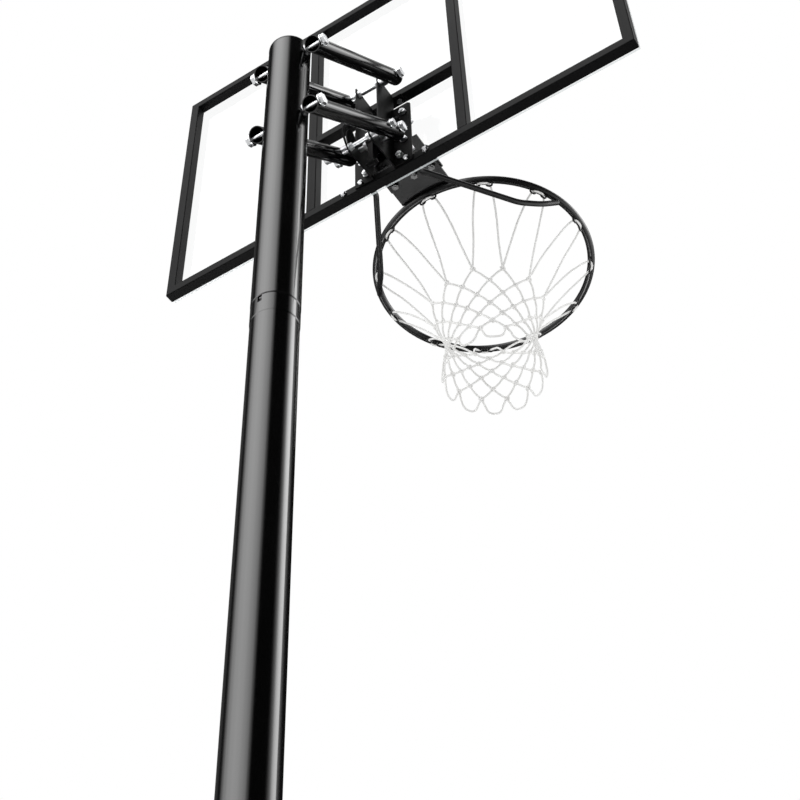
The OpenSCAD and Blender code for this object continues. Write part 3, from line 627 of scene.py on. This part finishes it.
# ------------------------------------------------------------------ floor
def floor_material():
    """Pale floor that shows from above only."""
    mat = Material("stage_floor")
    color = mat.mix(mat.noise(scale=0.6, detail=2.0), (0.80, 0.80, 0.80), (0.84, 0.84, 0.84))
    mat.set(Base_Color=color, Roughness=0.7, Specular_IOR_Level=0.1)
    clear = mat.node("BsdfTransparent").outputs[0]
    mat.show(mat.mix_shader(mat.geometry["Backfacing"], mat.principled.outputs[0], clear))
    return mat.material


bpy.ops.mesh.primitive_grid_add(x_subdivisions=2, y_subdivisions=2, size=60, location=(0, 0, 0))
floor = bpy.context.object
floor.name = "stage_floor"
floor.data.materials.append(floor_material())
floor.visible_glossy = False

# ------------------------------------------------------------------ world
world = bpy.data.worlds.new("studio")
scene.world = world
world.use_nodes = True
sky = Graph(world.node_tree)
sky.tree.nodes.clear()

# azimuth runs 0 to 1 for -180 to 180 degrees from +X, elevation 0 to 1 for -90 to 90
sky_x, sky_y, sky_z = sky.split(sky.node("TexCoord").outputs["Generated"])
azimuth = sky.math("DIVIDE", sky.math("ARCTAN2", sky_y, sky_x), 2 * math.pi)
azimuth = sky.math("ADD", azimuth, 0.5)
elevation = sky.math("ADD", sky.math("DIVIDE", sky.math("ARCSINE", sky_z), math.pi), 0.5)


def curve(value, stops, scale):
    """Brightness along a 0 to 1 value, from (place, brightness) stops.

    The ramp holds brightness over `scale`, which keeps its colours under 1.
    """
    ramp = sky.node("ValToRGB", {0: value})
    ramp.color_ramp.interpolation = "EASE"
    elements = ramp.color_ramp.elements
    while len(elements) > 1:
        elements.remove(elements[0])
    for i, (place, brightness) in enumerate(stops):
        element = elements.new(place) if i else elements[0]
        element.position = place
        element.color = (brightness / scale,) * 3 + (1,)
    return sky.math("MULTIPLY", ramp.outputs[0], scale)


def by_elevation(stops):
    return curve(elevation, [((deg + 90) / 180, level) for deg, level in stops], scale=2)


def panel(around, upward, scale):
    """A light patch: (degrees, brightness) stops in azimuth times those in elevation."""
    across = curve(azimuth, [((deg + 180) / 360, level) for deg, level in around], scale)
    return sky.math("MULTIPLY", across, by_elevation(upward))


# broad soft box on the -Y side
broad = panel(
    around=[(-172, 0.02), (-166, 0.10), (-156, 0.9), (-144, 2.3), (-125, 3.9), (-109, 4.7),
            (-94, 4.7), (-79, 3.9), (-66, 2.9), (-58, 1.0), (-50, 0.004)],
    upward=[(-6, 0.0), (2, 1.25), (32, 1.21), (38, 1.12), (44, 1.07), (48, 1.0), (53, 0.84),
            (59, 0.70), (66, 0.6), (76, 0.25), (90, 0.2)],
    scale=10)
# narrower strip between +X and +Y that ends lower
strip = panel(
    around=[(2, 0.004), (8, 0.12), (16, 0.9), (22, 2.0), (32, 5.4), (40, 7.2), (50, 4.6),
            (60, 1.4), (68, 0.12), (78, 0.008), (110, 0.004), (150, 0.1)],
    upward=[(-6, 0.0), (2, 1.0), (46, 1.0), (58, 0.25), (90, 0.05)],
    scale=12)
overhead = by_elevation([(63, 0.0), (74, 1.2), (90, 1.3)])
# glow below the horizon
low_glow = panel(
    around=[(-180, 0.9), (-150, 2.0), (-80, 2.2), (-55, 0.12), (-5, 0.12), (20, 2.4),
            (70, 2.2), (95, 0.15), (130, 0.15), (180, 0.9)],
    upward=[(-62, 0.02), (-40, 0.9), (-8, 1.0), (-2, 0.0)],
    scale=10)
# two steep patches from below, on the +Y side
under = panel(
    around=[(92, 0.0), (98, 1.0), (108, 1.0), (115, 0.0), (130, 0.0), (139, 13.0),
            (158, 13.0), (170, 0.0)],
    upward=[(-74, 0.0), (-66, 1.0), (-48, 1.0), (-38, 0.0)],
    scale=20)
AMBIENT = 0.002     # reflected brightness where no panel is
upper = sky.math("ADD", broad, sky.math("ADD", strip, overhead))
lower = sky.math("ADD", sky.math("ADD", low_glow, under), AMBIENT)
mirror_light = sky.math("ADD", upper, lower)
soft_light = by_elevation([(-90, 0.5), (-5, 0.55), (20, 0.75), (90, 1.1)])

# reflections see the panels, other rays the soft light, and the camera plain white
rays = sky.node("LightPath").outputs
glossy, camera_ray = rays["Is Glossy Ray"], rays["Is Camera Ray"]
WHITE = 1.0
light = sky.math("ADD", sky.math("MULTIPLY", mirror_light, glossy),
                 sky.math("MULTIPLY", soft_light, sky.math("SUBTRACT", 1.0, glossy)))
light = sky.math("ADD", sky.math("MULTIPLY", light, sky.math("SUBTRACT", 1.0, camera_ray)),
                 sky.math("MULTIPLY", WHITE, camera_ray))
background = sky.node("Background", {"Strength": light, "Color": (1, 1, 1, 1)})
sky.node("OutputWorld", {0: background.outputs[0]})


# ------------------------------------------------------------------ lights
def area(name, place, aim, size, power):
    """Square area light that neither reflections nor the camera see."""
    data = bpy.data.lights.new(name, "AREA")
    data.shape = "RECTANGLE"
    data.size = data.size_y = size
    data.energy = power
    lamp = bpy.data.objects.new(name, data)
    scene.collection.objects.link(lamp)
    lamp.location = place
    lamp.rotation_mode = "QUATERNION"
    lamp.rotation_quaternion = (Vector(aim) - Vector(place)).to_track_quat("-Z", "Y")
    lamp.visible_glossy = False
    lamp.visible_camera = False


area("key", place=(-3.5, -3.0, 5.5), aim=(0, 0.4, 2.4), size=3.0, power=160)
area("fill", place=(4.0, 3.5, 4.5), aim=(0, 0.4, 2.0), size=3.0, power=70)

# ------------------------------------------------------------------ camera
CAMERA_PLACE = (0.9076, -1.1445, 0.4486)
# rotation vector (axis times radians) from world axes to a view with Y down and Z ahead
VIEW_TURN = Vector((0.7446, 0.1942, -0.5524))

camera_data = bpy.data.cameras.new("camera")
camera = bpy.data.objects.new("camera", camera_data)
scene.collection.objects.link(camera)
world_to_view = Matrix.Rotation(VIEW_TURN.length, 3, VIEW_TURN.normalized())
rotation = world_to_view.transposed() @ Matrix(((1, 0, 0), (0, -1, 0), (0, 0, -1)))
camera.matrix_world = Matrix.Translation(CAMERA_PLACE) @ rotation.to_4x4()
camera_data.lens = 67.53
camera_data.sensor_width = 36.0
camera_data.clip_start = 0.02
camera_data.clip_end = 200
scene.camera = camera
scene.view_settings.view_transform = "Standard"
scene.view_settings.look = "None"

bpy.context.view_layer.update()
